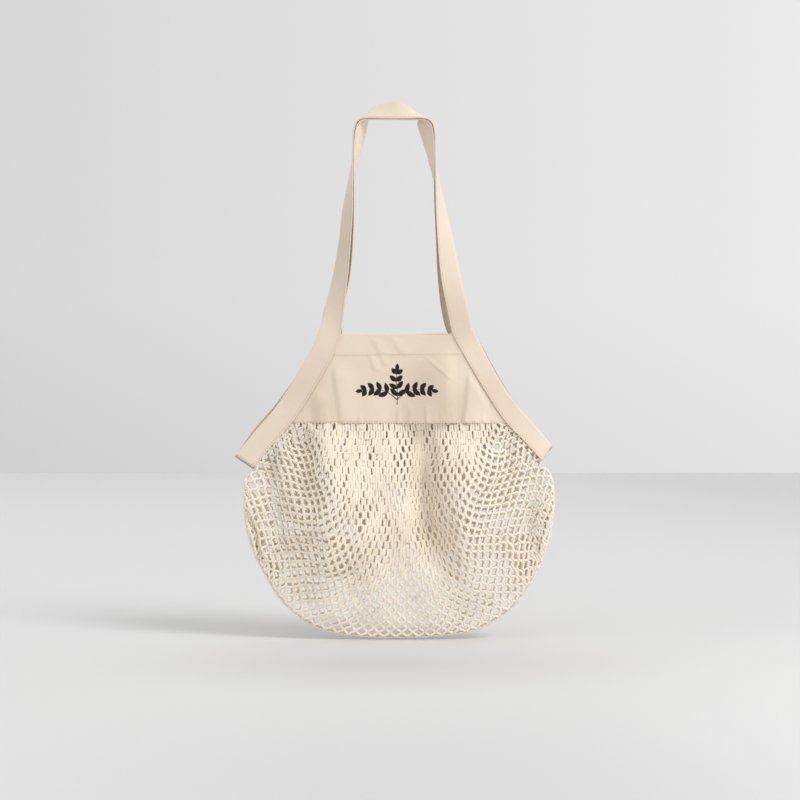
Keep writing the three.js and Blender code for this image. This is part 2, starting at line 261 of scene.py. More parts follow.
# One row is one section: the tape's inner edge, then a point beyond it towards its outer edge.
HANDLE_TOP = [(-2, -10.2, -9.9, 0, 5.8, 13)]
FRONT_TAPE_LEFT = [
    (-20, -10.5, -9.8, -14, 6.5, 11.6),
    (-36, -11.5, -9.6, -27.5, 9, 7.5),
    (-46, -12.3, -11.2, -37, 11.5, 0.5),
    (-51.5, -13, -16, -43.5, 12.5, -8),
    (-54, -14, -26, -47.5, 13, -21),
    (-55, -15, -44, -52, 12.8, -42),
    (-55.3, -15.5, -69, -57.5, 12.4, -68),
    (-55.2, -16.5, -91, -62, 10.6, -91),
    (-55.2, -17.5, -121, -68, 7.5, -121),
    (-57.5, -19.5, -161, -72.5, 4, -161),
    (-61, -20, -206, -80, 0, -206),
    (-66, -18.5, -251, -90, -5, -246),
    (-70, -16.2, -279, -97, -10.5, -272),
    (-79, -15.6, -304, -104.6, -12, -292),
    (-104, -13.4, -348, -127.7, -10.5, -333),
    (-129.4, -10.8, -386.5, -151.4, -7, -368.5),
    (-155.4, -8, -416.5, -176.9, -3.5, -398.5),
    (-178.8, -5.8, -444.6, -200, -1.3, -430.6),
]
FRONT_TAPE_RIGHT = [
    (16, -10.5, -9.8, 12, 9.3, 9.6),
    (30, -11.5, -9.6, 22.5, 11.5, 2),
    (39, -12, -11.2, 29, 12.7, -3.5),
    (44.5, -12.8, -16, 34.5, 12.8, -11.5),
    (47, -13.5, -25, 39, 13, -23),
    (47.5, -14, -44, 44, 13.7, -43.5),
    (47.8, -15, -69, 49, 13, -69),
    (48, -16, -91, 54.3, 11.3, -91),
    (48.6, -16.5, -121, 61.5, 8.4, -121),
    (50.5, -17.5, -161, 70.5, 2, -161),
    (54.5, -17, -206, 79.5, -3, -203),
    (63, -16.5, -251, 88.5, -5, -246),
    (69.5, -16, -279, 96, -6, -273),
    (82, -14.8, -302, 105, -2.5, -293),
    (112, -12, -353, 130, 3, -339),
    (135, -8.5, -387, 153.5, 5, -370),
    (159, -6.5, -412, 175.5, 8, -397),
    (181, -5, -436, 193, 10, -420),
]
BACK_TAPE_LEFT = [
    (-49.2, -12.2, -17.8, -36.5, 11.8, -11),
    (-51.6, -13.5, -27, -38.5, 10.7, -22),
    (-53.4, -14.5, -44, -43.8, 11.6, -43),
    (-53.8, -15, -69, -50, 12.7, -68),
    (-53.6, -14.5, -91, -55, 13.4, -91),
    (-53.6, -12.5, -121, -62, 14, -121),
    (-54.8, -7.5, -161, -69, 16.5, -161),
    (-59, -2, -206, -77, 19, -206),
    (-68.3, 8.5, -251, -90.8, 22.5, -246),
    (-70, 16.2, -279, -97, 17.5, -272),
    (-79, 15.6, -304, -106, 13, -292),
    (-104.8, 13.4, -347.3, -129.9, 10.5, -331.2),
    (-131.6, 10.8, -384.6, -154.6, 7, -365.6),
    (-157.8, 8, -414.6, -180.4, 3.5, -395.6),
    (-180, 5.8, -447.5, -201, 1.3, -433),
]
BACK_TAPE_RIGHT = [
    (42.3, -12.2, -17.8, 25.5, 10, -14),
    (44.7, -13, -26, 28.5, 9.8, -24.5),
    (46, -13.5, -44, 34.8, 12.2, -43.5),
    (46.4, -14.5, -69, 42.3, 13.2, -69),
    (46.4, -14.2, -91, 48, 13.7, -91),
    (47, -12, -121, 56, 14.4, -121),
    (48.8, -6, -161, 65, 16.8, -161),
    (51, 1, -206, 72, 19, -203),
    (56.5, 9.5, -251, 79, 22.5, -243),
    (64, 16, -277, 90, 18, -269),
    (81, 16, -303, 106, 13, -291),
    (110, 15, -355, 132, 10.5, -338),
    (133, 13, -389, 154.5, 10.5, -370.5),
    (156, 11.5, -415, 177.5, 13, -397),
    (177, 9, -440, 196, 14.8, -419.5),
]


def smooth(t):
    """A rise from 0 to 1 with soft ends, as t goes from 0 to 1."""
    t = np.clip(t, 0, 1)
    return t * t * (3 - 2 * t)


def unit(v):
    """Directions of length 1."""
    return v / np.maximum(np.linalg.norm(v, axis=-1, keepdims=True), 1e-9)


def run_along(line):
    """The distance of each point of a line from its first one, measured along it."""
    return np.concatenate([[0], np.cumsum(np.linalg.norm(np.diff(line, axis=0), axis=1))])


def at_run(line, run, at):
    """What a line's rows hold at some distances along it."""
    return np.stack([np.interp(at, run, line[:, axis]) for axis in range(3)], -1)


def hermite(t, a, b, leave, arrive):
    """Points of a cubic from a to b that leaves and arrives in the given directions."""
    return (
        (2 * t**3 - 3 * t**2 + 1) * a
        + (t**3 - 2 * t**2 + t) * leave
        + (3 * t**2 - 2 * t**3) * b
        + (t**3 - t**2) * arrive
    )


def through(points, at):
    """Points of a centripetal Catmull-Rom curve, at places counted in the points that it runs through."""
    points = np.asarray(points, float)
    at = np.asarray(at, float)
    ends = np.vstack([2 * points[0] - points[1], points, 2 * points[-1] - points[-2]])
    i = np.clip(np.floor(at).astype(int), 0, len(points) - 2)
    a, b, c, d = (ends[i + k] for k in range(4))
    pairs = ((a, b), (b, c), (c, d))
    ab, bc, cd = (np.sqrt(np.linalg.norm(q - p, axis=-1, keepdims=True)) for p, q in pairs)
    leave = ((b - a) / ab - (c - a) / (ab + bc) + (c - b) / bc) * bc
    arrive = ((c - b) / bc - (d - b) / (bc + cd) + (d - c) / cd) * bc
    return hermite((at - i)[..., None], b, c, leave, arrive)


class Tape:
    """A ribbon through its sections. k counts sections from the left end, across runs from the inner edge."""

    def __init__(self, sections):
        sections = np.array(sections, float)
        self.inner = sections[:, :3]
        self.outer = self.inner + unit(sections[:, 3:] - self.inner) * TAPE_WIDTH
        self.last = len(sections) - 1
        self.middle = self.last / 2

    def flat(self, k, across):
        """Points of the tape's own middle surface."""
        near = through(self.inner, k)
        return near + (through(self.outer, k) - near) * np.asarray(across, float)[..., None] / TAPE_WIDTH

    def outward(self, k, across):
        """The direction away from the loop that the tape makes."""
        k = np.asarray(k, float)
        step = 0.05
        before, after = np.maximum(k - step, 0), np.minimum(k + step, self.last)
        along = self.flat(after, across) - self.flat(before, across)
        return unit(np.cross(along, self.flat(k, TAPE_WIDTH) - self.flat(k, 0)))

    def over(self, k, across, off):
        """Points that stand off the tape's middle surface, above zero outward."""
        places = (np.asarray(value, float) for value in (k, across, off))
        k, across, off = np.broadcast_arrays(*places)
        return self.flat(k, across) + self.outward(k, across) * off[..., None]

    def stations(self, step):
        """Places along the tape, about step apart along its middle, and their distances from its left end."""
        fine = np.linspace(0, self.last, 60 * self.last + 1)
        run = run_along(self.flat(fine, TAPE_WIDTH / 2))
        at = np.linspace(0, run[-1], int(run[-1] / step) + 1)
        return np.interp(at, run, fine), at


front_tape = Tape(FRONT_TAPE_LEFT[::-1] + HANDLE_TOP + FRONT_TAPE_RIGHT)
top_section = len(FRONT_TAPE_LEFT)
nest = np.arange(top_section - 3, top_section + 4)
nested = np.hstack([front_tape.over(nest, 0, -TAPE_NEST), front_tape.over(nest, TAPE_WIDTH, -TAPE_NEST)])
back_tape = Tape(BACK_TAPE_LEFT[::-1] + [tuple(row) for row in nested] + BACK_TAPE_RIGHT)


def mesh_piece(name, points, faces, uvs):
    """An object made from points in millimetres. uvs has one pair for each corner of each face."""
    mesh = bpy.data.meshes.new(name)
    points = np.asarray(points, np.float32).reshape(-1, 3) * MM
    faces = np.asarray(faces, np.int32)
    sides = faces.shape[1]
    mesh.vertices.add(len(points))
    mesh.vertices.foreach_set("co", points.ravel())
    mesh.loops.add(faces.size)
    mesh.loops.foreach_set("vertex_index", faces.ravel())
    mesh.polygons.add(len(faces))
    mesh.polygons.foreach_set("loop_start", np.arange(0, faces.size, sides, dtype=np.int32))
    mesh.polygons.foreach_set("loop_total", np.full(len(faces), sides, np.int32))
    layer = mesh.uv_layers.new(name="cloth")
    layer.data.foreach_set("uv", np.asarray(uvs, np.float32).ravel())
    mesh.update(calc_edges=True)
    mesh.validate()
    mesh.polygons.foreach_set("use_smooth", np.ones(len(mesh.polygons), bool))
    piece = bpy.data.objects.new(name, mesh)
    bpy.context.scene.collection.objects.link(piece)
    return piece


def grid_faces(rows, columns, closed_columns=False):
    """Quads of a grid whose points lie row after row."""
    across = np.arange(columns if closed_columns else columns - 1)
    r, c = np.meshgrid(np.arange(rows - 1), across, indexing="ij")
    n = (c + 1) % columns
    here, below = r * columns, (r + 1) * columns
    return np.stack([here + c, here + n, below + n, below + c], -1).reshape(-1, 4)


def swept_uvs(along, around):
    """A UV pair for each corner of a swept piece's quads, from distances along it and around it."""
    r, c = np.meshgrid(np.arange(len(along) - 1), np.arange(len(around) - 1), indexing="ij")
    corners = ((r, c), (r, c + 1), (r + 1, c + 1), (r + 1, c))
    return np.stack([np.stack([along[a], around[b]], -1) for a, b in corners], 2).reshape(-1, 2)


def turn_out(piece, close=False):
    """Turns every face of a piece outwards, once its open end rings are filled if close says so."""
    bpy.ops.object.select_all(action="DESELECT")
    piece.select_set(True)
    bpy.context.view_layer.objects.active = piece
    bpy.ops.object.mode_set(mode="EDIT")
    if close:
        bpy.ops.mesh.select_all(action="DESELECT")
        bpy.ops.mesh.select_mode(type="EDGE")
        bpy.ops.mesh.select_non_manifold(extend=False)
        bpy.ops.mesh.fill()
    bpy.ops.mesh.select_all(action="SELECT")
    bpy.ops.mesh.normals_make_consistent(inside=False)
    bpy.ops.object.mode_set(mode="OBJECT")
    piece.select_set(False)


def set_value(piece, name, values):
    """Gives each point of a piece a value that its material reads by name."""
    layer = piece.data.attributes.new(name, "FLOAT", "POINT")
    layer.data.foreach_set("value", np.asarray(values, np.float32).ravel())


# Unbleached cotton: its finish, the noise's scale along and across its uneven threads, the height of its
# weave, and how its colour clouds over. Painted shading below 1 darkens its three colour channels by growing
# powers, so painted shade is warmer; above 1 it is painted light.
COTTON_ROUGHNESS = 0.88
COTTON_SPECULAR = 0.25
COTTON_SHEEN = 0.25
SHEEN_ROUGHNESS = 0.5
SLUB_ALONG = 60
SLUB_ACROSS = 1600
WEAVE_HEIGHT = 0.5
WEAVE_DEPTH = 0.0002
CLOUD_SCALE = 18
SLUB_TONE = 0.35
DULL_FROM = 0.55
PAINTED_SHADE_POWERS = (1.0, 1.15, 1.35)


def cloth_material(name, pale, dull, thread_width, weave_strength, takes_painted_shading=True):
    """Cotton that varies between two colours. Its piece's UV map and thread_width are in metres.

    A cloth that takes painted shading is toned by its piece's own value of painted shade and light: darker
    and warmer below 1, lighter above.
    """
    material = bpy.data.materials.new(name)
    material.use_nodes = True
    tree = material.node_tree
    shader = tree.nodes["Principled BSDF"]
    shader.inputs["Roughness"].default_value = COTTON_ROUGHNESS
    shader.inputs["Specular IOR Level"].default_value = COTTON_SPECULAR
    shader.inputs["Sheen Weight"].default_value = COTTON_SHEEN
    shader.inputs["Sheen Roughness"].default_value = SHEEN_ROUGHNESS
    uv = add_node(tree, "UVMap", uv_map="cloth").outputs[0]
    split = add_node(tree, "SeparateXYZ", {0: uv})

    def wave(axis):
        turn = math_node(tree, "MULTIPLY", split.outputs[axis], math.pi / thread_width)
        return math_node(tree, "SINE", turn)

    def slubs(stretch_x, stretch_y):
        stretched = add_node(tree, "Mapping", {"Vector": uv, "Scale": (stretch_x, stretch_y, 1)})
        noise = add_node(tree, "TexNoise", {"Vector": stretched.outputs[0], "Scale": 1, "Detail": 2})
        return noise.outputs["Fac"]

    weave = math_node(tree, "MULTIPLY", wave("X"), wave("Y"))
    threads = math_node(tree, "ADD", slubs(SLUB_ALONG, SLUB_ACROSS), slubs(SLUB_ACROSS, SLUB_ALONG))
    height = math_node(tree, "MULTIPLY_ADD", weave, WEAVE_HEIGHT, threads)
    bump = add_node(tree, "Bump", {"Height": height, "Strength": weave_strength, "Distance": WEAVE_DEPTH})
    tree.links.new(bump.outputs[0], shader.inputs["Normal"])

    place = add_node(tree, "TexCoord").outputs["Object"]
    cloud = add_node(tree, "TexNoise", {"Vector": place, "Scale": CLOUD_SCALE, "Detail": 3}).outputs["Fac"]
    ramp = add_node(tree, "ValToRGB", {"Fac": math_node(tree, "MULTIPLY_ADD", threads, SLUB_TONE, cloud)})
    low, high = ramp.color_ramp.elements
    low.position, high.position = DULL_FROM, 1
    low.color, high.color = (*dull, 1), (*pale, 1)
    colour = ramp.outputs["Color"]
    if takes_painted_shading:
        # Painted shade and painted light, read from each point's own value.
        painted_shading = add_node(tree, "Attribute", attribute_name="painted_shading").outputs["Fac"]
        tones = {axis: math_node(tree, "POWER", painted_shading, power) for axis, power in zip("XYZ", PAINTED_SHADE_POWERS)}
        tone = add_node(tree, "CombineXYZ", tones).outputs[0]
        colour = add_node(tree, "VectorMath", {0: colour, 1: tone}, operation="MULTIPLY").outputs[0]
    tree.links.new(colour, shader.inputs["Base Color"])
    return material


webbing = cloth_material("tape_canvas", TAPE_PALE, TAPE_DULL, thread_width=0.00045, weave_strength=0.35)


def tape_profile():
    """Points round one section, as places across the tape and heights off its middle surface."""
    groove = SEAM_GROOVE * np.exp(-(((TAPE_PLACES - TAPE_EDGE_SEAM) / SEAM_GROOVE_REACH) ** 2))
    crown = TAPE_CROWN * np.sin(np.pi * TAPE_PLACES / TAPE_WIDTH)
    off = TAPE_THICKNESS / 2 + crown - groove - TAPE_ROUNDING
    outer_side = np.stack([TAPE_PLACES, off], 1)
    inner_side = np.stack([TAPE_PLACES, -off], 1)[::-1]
    return np.vstack([outer_side, TAPE_FOLD, inner_side, TAPE_LIPS])


def painted_tape_shading(tape, k, across, off, outward_table):
    """The painted shade and painted light at each point of a tape, by its place along it, its side and its
    place across.
    """
    tables = (outward_table, INSIDE_PAINTED_SHADING)
    outward, inward = (np.interp(k - tape.middle, *np.array(table).T) for table in tables)
    sides = np.where(off[None, :] < 0, inward[:, None], outward[:, None])
    # A painted highlight along the outer edge of the tape's lower right.
    at_edge = smooth((across[None, :] - TAPE_WIDTH + PAINTED_HIGHLIGHT_WIDTH) / (PAINTED_HIGHLIGHT_WIDTH / 2))
    low_right = smooth((k[:, None] - tape.middle - PAINTED_HIGHLIGHT_FROM) / PAINTED_HIGHLIGHT_RISE)
    return sides * (1 + PAINTED_EDGE_HIGHLIGHT * at_edge * low_right)


def make_tape(name, tape, node, outward_table):
    """A sewn tape of its whole length, puckered along its seam and closed at both ends."""
    k, run = tape.stations(TAPE_STEP)
    profile = tape_profile()
    across, off = profile[:, 0], profile[:, 1]
    ripple = PUCKER * np.sin(run * 2 * np.pi / PUCKER_PITCH)
    pucker = ripple[:, None] * np.exp(-(((across - TAPE_EDGE_SEAM) / PUCKER_REACH) ** 2))
    points = tape.over(k[:, None], across[None, :], off[None, :] + pucker)
    faces = grid_faces(len(k), len(profile), closed_columns=True)
    girth = run_along(np.vstack([profile, profile[:1]]))
    piece = mesh_piece(name, points, faces, swept_uvs(run * MM, girth * MM))
    turn_out(piece, close=True)
    piece.data.materials.append(webbing)
    # Painted shade and painted light along the tape, for the material to read.
    set_value(piece, "painted_shading", painted_tape_shading(tape, k, across, off, outward_table))
    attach(piece, "root")
    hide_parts(node)


make_tape("tape_front", front_tape, "strap_front", FRONT_TAPE_PAINTED_SHADING)
make_tape("tape_back", back_tape, "strap_back", BACK_TAPE_PAINTED_SHADING)

# ------------------------------------------------------------------------------------------- yokes
# Each yoke is one layer of canvas between its two tapes, with a hem folded down along its top and a row of
# stitches along its foot, where the gathered net is caught. The front one carries a printed black sprig.

# A yoke's top corners and its foot lie this many sections from the top's middle.
YOKE_TOP = 13
YOKE_FOOT = 16.075
YOKE_HEIGHT = 111
YOKE_DEPTH = 14
YOKE_TUCK = 5
YOKE_BEHIND = 2.2
FRONT_YOKE_GRID = (241, 112)
BACK_YOKE_GRID = (121, 61)
CANVAS = 1.2
HEM = 26.5
HEM_STEP = 0.45
HEM_SEAM = HEM - 1.4
HEM_GROOVE = 0.28
FOOT_SEAM = 1.3
FOOT_GROOVE = 0.25
GROOVE_REACH = 0.7
FOOT_EASE = 0.35
FOOT_EASE_REACH = 5
FOOT_EASE_TURN = 140
YOKE_PALE = (0.81, 0.695, 0.555)
YOKE_DULL = (0.76, 0.64, 0.505)

# Painted shade and painted light on each yoke, as soft darker and lighter places: x, z, reach x, reach z,
# change.
PAINTED_YOKE_SHADING = {
    -1: [
        (45, -340, 34, 42, -0.12),
        (-94, -375, 17, 30, -0.13),
        (106, -378, 17, 34, 0.08),
        (10, -380, 26, 18, -0.08),
        (66, -372, 12, 22, -0.08),
        (-18, -378, 16, 22, 0.07),
        (78, -326, 16, 26, 0.07),
        (60, -385, 12, 18, -0.05),
    ],
    1: [],
}

# Upright folds of a yoke: x0, z0, x1, z1, rise, fall, height. To the right of its line a fold climbs over
# its rise and then sinks back over its fall. It fades in from GATHER_FROM and out to GATHER_TO, as shares of
# its line's length.
GATHERS = {
    -1: [
        (-86, -312, -75, -390, 9, 28, 2.6),
        (-113, -345, -106, -405, 14, 16, 2.6),
        (-92, -372, -91, -405, 4, 5, 0.9),
        (-39, -304, -33, -322, 6, 9, 1.1),
        (-24, -304, -21, -316, 6, 9, 0.9),
        (-36, -283, -28, -302, 8, 12, 1.0),
        (-12, -282, -2, -302, 8, 14, 1.0),
        (2, -292, 2, -405, 58, 16, 7.5),
        (29, -306, 61, -334, 5, 8, 0.8),
        (86, -318, 76, -405, 8, 40, 3.8),
        (-2, -364, -1, -405, 3, 5, 0.9),
        (13, -366, 14, -405, 3, 7, 0.8),
        (33, -364, 34, -405, 3, 6, 1.0),
        (52, -372, 53, -405, 2.5, 5, 0.7),
        (66, -368, 68, -405, 2.5, 4, 1.0),
        (-50, -374, -49, -405, 3, 6, 0.6),
        (-20, -376, -21, -405, 3, 6, 0.5),
        (104, -374, 106, -405, 3, 5, 0.6),
    ],
    1: [
        (-90, -340, -84, -405, 10, 24, 2.4),
        (-40, -320, -46, -405, 4, 20, 1.6),
        (10, -300, 4, -405, 24, 12, 2.6),
        (56, -330, 60, -405, 4, 22, 1.8),
        (92, -350, 98, -405, 6, 12, 1.6),
    ],
}
GATHER_FROM = -0.05
GATHER_TO = 1.25
GATHER_FADE = 0.35

# The printed sprig: three stems as x, z points from the foot to the tip. Half a stem's thickness shrinks by
# STEM_TAPER from point to point. Its leaves stand in pairs, from LEAVES_FROM to LEAVES_TO, counted in points.
PRINT_STEMS = [
    [(0, -366), (1, -352), (-1, -338), (0, -324)],
    [(0, -360), (-12, -351), (-27, -347), (-43, -349)],
    [(0, -360), (12, -351), (27, -347), (43, -349)],
]
STEM_THICKNESS = 1.5
STEM_TAPER = 0.12
LEAVES_FROM = (0.75, 0.95, 0.95)
LEAVES_TO = 2.7
LEAF_PAIRS = 4
LEAF_TURN = 0.85
PRINT_LEAF = 13.5
LEAF_WIDTH = 6.2
END_LEAF = 9
END_LEAF_WIDTH = 5.2
INK = (0.012, 0.011, 0.011, 1)
INK_BLEED = 0.18
UNPRINTED = 9.0


def facing(tape, face, k):
    """1 where the tape's outward side is the side that faces out of the bag, otherwise -1."""
    return np.sign(tape.outward(k, 0)[..., 1] * face)


def gather_height(face, x, z):
    """How far the folds lift a yoke's canvas at some points."""
    height = np.zeros_like(x)
    for x0, z0, x1, z1, rise, fall, tall in GATHERS[face]:
        down = (z0 - z) / (z0 - z1)
        past = x - (x0 + (x1 - x0) * down)
        fade = smooth((down - GATHER_FROM) / GATHER_FADE) * smooth((GATHER_TO - down) / GATHER_FADE)
        height += tall * fade * smooth(past / rise) * smooth((rise + fall - past) / fall)
    return height


def yoke_surface(tape, face, across, down):
    """The middle of a yoke. down runs from its top edge (0) to its foot (1)."""
    across, down = np.broadcast_arrays(np.asarray(across, float), np.asarray(down, float))
    drop = YOKE_TOP + (YOKE_FOOT - YOKE_TOP) * down
    tuck = np.maximum(np.maximum(-across, across - 1), 0) * TAPE_WIDTH

    def edge(side):
        k = tape.middle + side * drop
        return tape.over(k, tuck, -YOKE_BEHIND * facing(tape, face, k))

    inside = np.clip(across, 0, 1)
    point = edge(-1) * (1 - inside)[..., None] + edge(1) * inside[..., None]
    bow = 1 - (2 * inside - 1) ** 2
    point[..., 1] += (face * YOKE_DEPTH - point[..., 1]) * bow
    point[..., 1] += face * gather_height(face, point[..., 0], point[..., 2]) * smooth(bow * 5)
    return point


def outside_leaf(x, z, root, tip, width):
    """About how far a point lies outside one pointed leaf, below zero inside it."""
    axis = np.array([tip[0] - root[0], tip[1] - root[1]], float)
    length = np.hypot(*axis)
    axis /= length
    along = (x - root[0]) * axis[0] + (z - root[1]) * axis[1]
    aside = np.abs((z - root[1]) * axis[0] - (x - root[0]) * axis[1])
    share = np.clip(along / length, 0, 1)
    half = width / 2 * np.sin(np.pi * share**0.85) ** 0.9
    beyond = np.maximum(np.maximum(-along, along - length), 0)
    return np.hypot(np.maximum(aside - half, 0), beyond) + np.minimum(aside - half, 0)


def outside_print(x, z):
    """How far a point of the front yoke lies outside the printed sprig, below zero inside it."""
    nearest = np.full(x.shape, 50.0)
    for stem, leaves_from in zip(PRINT_STEMS, LEAVES_FROM):
        line = [(a, 0, b) for a, b in stem]
        places = np.linspace(0, len(stem) - 1, 40)
        for (at_x, _, at_z), place in zip(through(line, places), places):
            half = STEM_THICKNESS / 2 - STEM_TAPER * place
            nearest = np.minimum(nearest, np.hypot(x - at_x, z - at_z) - half)
        for place in np.linspace(leaves_from, LEAVES_TO, LEAF_PAIRS):
            here, onward = through(line, [place, place + 0.1])[:, ::2]
            heading = math.atan2(onward[1] - here[1], onward[0] - here[0])
            reach = PRINT_LEAF * (1.1 - 0.14 * place)
            for turn in (heading - LEAF_TURN, heading + LEAF_TURN):
                tip = here + reach * np.array([math.cos(turn), math.sin(turn)])
                nearest = np.minimum(nearest, outside_leaf(x, z, here, tip, LEAF_WIDTH))
        end, before = np.array(stem[-1], float), np.array(stem[-2], float)
        tip = end + (end - before) / np.hypot(*(end - before)) * END_LEAF
        nearest = np.minimum(nearest, outside_leaf(x, z, end, tip, END_LEAF_WIDTH))
    return nearest


def canvas_with_print(plain):
    """The plain canvas with black ink wherever the piece's own print value is below zero."""
    material = plain.copy()
    material.name = "printed_canvas"
    tree = material.node_tree
    base = tree.nodes["Principled BSDF"].inputs["Base Color"]
    cloth = base.links[0].from_socket
    outside = add_node(tree, "Attribute", attribute_name="print").outputs["Fac"]
    ends = {"Value": outside, "From Min": -INK_BLEED, "From Max": INK_BLEED}
    edge = add_node(tree, "MapRange", ends).outputs[0]
    printed = add_node(tree, "Mix", {"A": INK, "B": cloth, "Factor": edge}, data_type="RGBA")
    tree.links.new(printed.outputs["Result"], base)
    return material


def painted_shading_at(points, shading_places):
    """The painted shading at some points, from a table of soft places of painted shade and painted light."""
    painted_shading = np.ones(len(points))
    for at_x, at_z, reach_x, reach_z, change in shading_places:
        away = ((points[:, 0] - at_x) / reach_x) ** 2 + ((points[:, 2] - at_z) / reach_z) ** 2
        painted_shading += change * np.exp(-away)
    return painted_shading


def yoke_relief(across, below):
    """How far the canvas's face stands off a yoke's middle: its hem, two seams, and the ease at its foot."""
    to_foot = below[-1] - below
    hem = HEM_STEP * smooth((HEM + 0.4 - below) / 0.8)
    groove = HEM_GROOVE * np.exp(-(((below - HEM_SEAM) / GROOVE_REACH) ** 2))
    groove += FOOT_GROOVE * np.exp(-(((to_foot - FOOT_SEAM) / GROOVE_REACH) ** 2))
    near_foot = np.exp(-((to_foot[:, None] / FOOT_EASE_REACH) ** 2))
    ease = np.sin(across[None, :] * FOOT_EASE_TURN) * near_foot * FOOT_EASE
    return (CANVAS / 2 + hem - groove)[:, None] + ease


def two_sided_faces(rows, columns):
    """Quads of a sheet whose outer grid of points is followed by an inner one, with its edge closed."""
    count = rows * columns
    faces = grid_faces(rows, columns)
    ring = np.concatenate([
        np.arange(columns - 1),
        np.arange(rows - 1) * columns + columns - 1,
        (rows - 1) * columns + np.arange(columns - 1, 0, -1),
        np.arange(rows - 1, 0, -1) * columns,
    ])
    turn = np.roll(ring, -1)
    strip = np.stack([ring, ring + count, turn + count, turn], 1)
    return np.vstack([faces, faces[:, ::-1] + count, strip])


def front_uvs(points, faces):
    """UV pairs that lay a piece out as it shows from the front."""
    return (points[:, ::2] * MM)[faces.ravel()]


def make_yoke(name, tape, face, node, grid):
    """A yoke of canvas, tucked under its tapes at both sides, and the grid of points of its outer face."""
    columns_inside, rows = grid
    tuck = YOKE_TUCK / TAPE_WIDTH
    across = np.concatenate([[-tuck], np.linspace(0, 1, columns_inside), [1 + tuck]])
    down = np.linspace(0, 1, rows)
    middle = yoke_surface(tape, face, across[None, :], down[:, None])
    below = middle[0, :, 2].mean() - middle[..., 2].mean(1)
    out = face * yoke_relief(across, below)
    skin = middle + np.stack([0 * out, out, 0 * out], -1)
    lining = middle - np.array([0, face * CANVAS / 2, 0])
    points = np.vstack([skin.reshape(-1, 3), lining.reshape(-1, 3)])
    faces = two_sided_faces(rows, len(across))
    piece = mesh_piece(name, points, faces, front_uvs(points, faces))
    turn_out(piece)
    # Painted shade and painted light on the yoke's canvas.
    set_value(piece, "painted_shading", painted_shading_at(points, PAINTED_YOKE_SHADING[face]))
    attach(piece, "root")
    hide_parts(node)
    return piece, skin


canvas = cloth_material("yoke_canvas", YOKE_PALE, YOKE_DULL, thread_width=0.0004, weave_strength=0.4)
yoke_front, front_skin = make_yoke("yoke_front_cloth", front_tape, -1, "yoke_front", FRONT_YOKE_GRID)
yoke_back, back_skin = make_yoke("yoke_back_cloth", back_tape, 1, "yoke_back", BACK_YOKE_GRID)
yoke_back.data.materials.append(canvas)

# Only the front yoke's outer face is printed. Its points come first.
yoke_front.data.materials.append(canvas_with_print(canvas))
print_value = np.full(len(yoke_front.data.vertices), UNPRINTED)
print_value[: front_skin[..., 0].size] = outside_print(front_skin[..., 0], front_skin[..., 2]).ravel()
set_value(yoke_front, "print", print_value)

# ---------------------------------------------------------------------------------------- stitches
# Rows of brown sewing thread, as small beads that lie on the cloth. They run along the inner edge and
# across the ends of each tape, and along each yoke's hem and foot.

STITCH_PITCH = 3.1
STITCH_LENGTH = 2.3
STITCH_THICKNESS = 0.55
STITCH_SINK = 0.12
END_ROW_FROM = 2.5
THREAD_PALE = (0.66, 0.50, 0.36)
THREAD_DULL = (0.58, 0.43, 0.30)
BEAD_SIDES = 6

# A bead's rings: their places along it, and their sizes as shares of its thickness. BEAD_END closes its end.
BEAD_RINGS = [(-0.5, 0.05), (-0.42, 0.7), (-0.2, 1), (0.2, 1), (0.42, 0.7), (0.5, 0.05)]
BEAD_END = np.array([[0, 5, 4, 1], [1, 4, 3, 2]])


def rings_round(line, lateral, out, radius, sides, flatness=1):
    """Rings of points round a line. flatness is their height over their width."""
    turn = np.linspace(0, 2 * np.pi, sides, endpoint=False)
    sideways = lateral[:, None] * np.cos(turn)[None, :, None]
    outward = out[:, None] * np.sin(turn)[None, :, None] * flatness
    return line[:, None] + np.broadcast_to(radius, (len(line),))[:, None, None] * (sideways + outward)


def stitch_row(line, outs):
    """Beads of thread along a line of points, seated on a surface that faces outs."""
    run = run_along(line)
    count = int(run[-1] / STITCH_PITCH)
    middles = (np.arange(count) + 0.5) * run[-1] / count
    rings = []
    for share, size in BEAD_RINGS:
        at = middles + share * STITCH_LENGTH
        out = unit(at_run(outs, run, at))
        along = unit(at_run(line, run, middles + 0.3) - at_run(line, run, middles - 0.3))
        radius = STITCH_THICKNESS / 2 * size
        rings.append(rings_round(at_run(line, run, at), np.cross(out, along), out, radius, BEAD_SIDES))
    return np.stack(rings, 1).reshape(count, -1, 3)


def stitches(name, rows_of_beads, node):
    """One piece of all the beads of some rows."""
    beads = np.concatenate(rows_of_beads)
    each = beads.shape[1]
    wall = grid_faces(len(BEAD_RINGS), BEAD_SIDES, closed_columns=True)
    one = np.vstack([wall, BEAD_END, BEAD_END[:, [0, 3, 2, 1]] + each - BEAD_SIDES])
    faces = (one[None] + (np.arange(len(beads)) * each)[:, None, None]).reshape(-1, 4)
    points = beads.reshape(-1, 3)
    piece = mesh_piece(name, points, faces, front_uvs(points, faces))
    turn_out(piece)
    piece.data.materials.append(thread)
    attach(piece, "root")
    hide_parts(node)


def yoke_stitches(name, skin, face, node):
    """The rows along a yoke's hem and its foot."""
    drop = skin[0, :, 2].mean() - skin[..., 2].mean(1)
    rows_of_beads = []
    for below in (HEM_SEAM, drop[-1] - FOOT_SEAM):
        level = np.argmin(np.abs(drop - below))
        line = skin[level, 1:-1] + np.array([0, face * STITCH_THICKNESS * 0.2, 0])
        rows_of_beads.append(stitch_row(line, np.tile([0.0, face, 0.0], (len(line), 1))))
    stitches(name, rows_of_beads, node)


